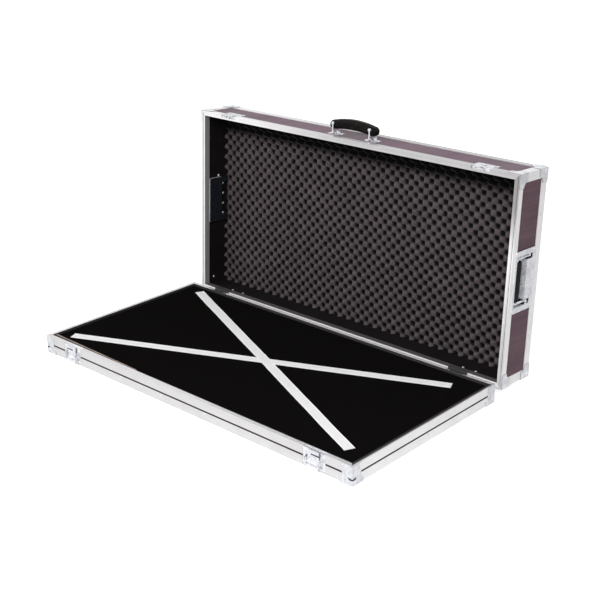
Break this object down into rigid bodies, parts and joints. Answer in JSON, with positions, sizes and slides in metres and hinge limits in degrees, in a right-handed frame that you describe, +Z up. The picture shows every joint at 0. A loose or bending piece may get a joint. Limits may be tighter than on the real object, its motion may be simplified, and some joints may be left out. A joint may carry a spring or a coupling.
{
  "type": "guitar pedal case",
  "caption": "Flight case for guitar effects pedals: laminated ply panels in aluminium edging, ball corners, draw latches, foam-lined hinged lid, carpeted board",
  "frame": {"origin": "the middle of the underside of the base's floor panel", "axes": "+X along the case, to the right when facing the latches; +Y from the latches to the hinges; +Z up"},
  "size_m": [1.0278, 0.6997, 0.5851],
  "materials": {
    "panel": "dark brown phenolic film on birch ply, satin",
    "extrusion": "satin anodised extrusion",
    "steel": "bright zinc-plated pressed steel",
    "board": "bare ply",
    "batten": "sawn softwood",
    "carpet": "black needle-punched carpet",
    "hook_strip": "white hook tape",
    "foam": "open-cell egg-crate foam, charcoal",
    "handle_rubber": "black moulded grip"
  },
  "bodies": {
    "base": {"base_floor_panel": "panel", "base_front_panel": "panel", "base_rear_panel": "panel", "base_left_panel": "panel", "base_right_panel": "panel", "base_rim_front": "extrusion", "base_rim_rear": "extrusion", "base_rim_left": "extrusion", "base_rim_right": "extrusion", "base_edge_front": "extrusion", "base_edge_rear": "extrusion", "base_edge_left": "extrusion", "base_edge_right": "extrusion", "base_ball_corners": "steel", "base_hinge_leaves": "steel", "hinge_pins": "steel", "latch_plates": "steel", "latch_pins": "steel", "board_battens": "batten", "pedal_board": "board", "board_carpet": "carpet", "strip_under": "hook_strip", "strip_over": "hook_strip", "base_rivets": "steel"},
    "lid": {"lid_top_panel": "panel", "lid_front_panel": "panel", "lid_rear_panel": "panel", "lid_left_panel": "panel", "lid_right_panel": "panel", "lid_rim_front": "extrusion", "lid_rim_rear": "extrusion", "lid_rim_left": "extrusion", "lid_rim_right": "extrusion", "lid_edge_front": "extrusion", "lid_edge_rear": "extrusion", "lid_edge_left": "extrusion", "lid_edge_right": "extrusion", "lid_corner_posts": "extrusion", "lid_ball_corners": "steel", "lid_rim_brackets": "steel", "latch_keepers": "steel", "lid_hinge_leaves": "steel", "foam_lining": "foam", "handle_saddles": "steel", "side_handle_dish_left": "steel", "side_handle_dish_right": "steel", "lid_rivets": "steel"},
    "latch_lever_left": {"latch_lever_left": "steel"},
    "latch_hook_left": {"latch_hook_left": "steel"},
    "latch_lever_right": {"latch_lever_right": "steel"},
    "latch_hook_right": {"latch_hook_right": "steel"},
    "handle_ring_left": {"handle_ring_left": "steel"},
    "handle_grip": {"handle_grip": "handle_rubber", "handle_pins": "steel"},
    "handle_ring_right": {"handle_ring_right": "steel"},
    "side_bail_left": {"side_handle_bail_left": "steel", "side_handle_grip_left": "handle_rubber"},
    "side_bail_right": {"side_handle_bail_right": "steel", "side_handle_grip_right": "handle_rubber"}
  },
  "joints": [
    {"name": "lid_hinge", "type": "hinge", "parent": "base", "child": "lid", "pos_m": [0, 0.2595, 0.0185], "axis": [1, 0, 0], "range_deg": [0, 92.8]},
    {"name": "latch_lever_left", "type": "hinge", "parent": "base", "child": "latch_lever_left", "pos_m": [-0.406, -0.263, 0.0215], "axis": [-1, 0, 0], "range_deg": [0, 95]},
    {"name": "latch_hook_left", "type": "hinge", "parent": "latch_lever_left", "child": "latch_hook_left", "pos_m": [-0.406, -0.2612, 0.0135], "axis": [1, 0, 0], "range_deg": [0, 95]},
    {"name": "latch_lever_right", "type": "hinge", "parent": "base", "child": "latch_lever_right", "pos_m": [0.406, -0.263, 0.0215], "axis": [-1, 0, 0], "range_deg": [0, 95]},
    {"name": "latch_hook_right", "type": "hinge", "parent": "latch_lever_right", "child": "latch_hook_right", "pos_m": [0.406, -0.2612, 0.0135], "axis": [1, 0, 0], "range_deg": [0, 95]},
    {"name": "handle_ring_left", "type": "hinge", "parent": "lid", "child": "handle_ring_left", "pos_m": [-0.059, 0.35317, 0.53354], "axis": [0, 0.9988, -0.0489], "range_deg": [-35, 35]},
    {"name": "handle_grip", "type": "hinge", "parent": "handle_ring_left", "child": "handle_grip", "pos_m": [-0.059, 0.35439, 0.55851], "axis": [0, 0.9988, -0.0489], "range_deg": [-35, 35]},
    {"name": "handle_ring_right", "type": "hinge", "parent": "lid", "child": "handle_ring_right", "pos_m": [0.059, 0.35317, 0.53354], "axis": [0, 0.9988, -0.0489], "range_deg": [-35, 35]},
    {"name": "side_bail_left", "type": "hinge", "parent": "lid", "child": "side_bail_left", "pos_m": [-0.505, 0.37845, 0.27249], "axis": [0, -0.0489, -0.9988], "range_deg": [0, 90], "stiffness_Nm_per_rad": 0.2},
    {"name": "side_bail_right", "type": "hinge", "parent": "lid", "child": "side_bail_right", "pos_m": [0.505, 0.37845, 0.27249], "axis": [0, 0.0489, 0.9988], "range_deg": [0, 90], "stiffness_Nm_per_rad": 0.2}
  ],
  "couplings": [
    {"joint": "latch_hook_left", "follows": "latch_lever_left", "ratio": 1},
    {"joint": "latch_hook_right", "follows": "latch_lever_right", "ratio": 1},
    {"joint": "handle_grip", "follows": "handle_ring_left", "ratio": -1},
    {"joint": "handle_ring_right", "follows": "handle_ring_left", "ratio": 1}
  ]
}
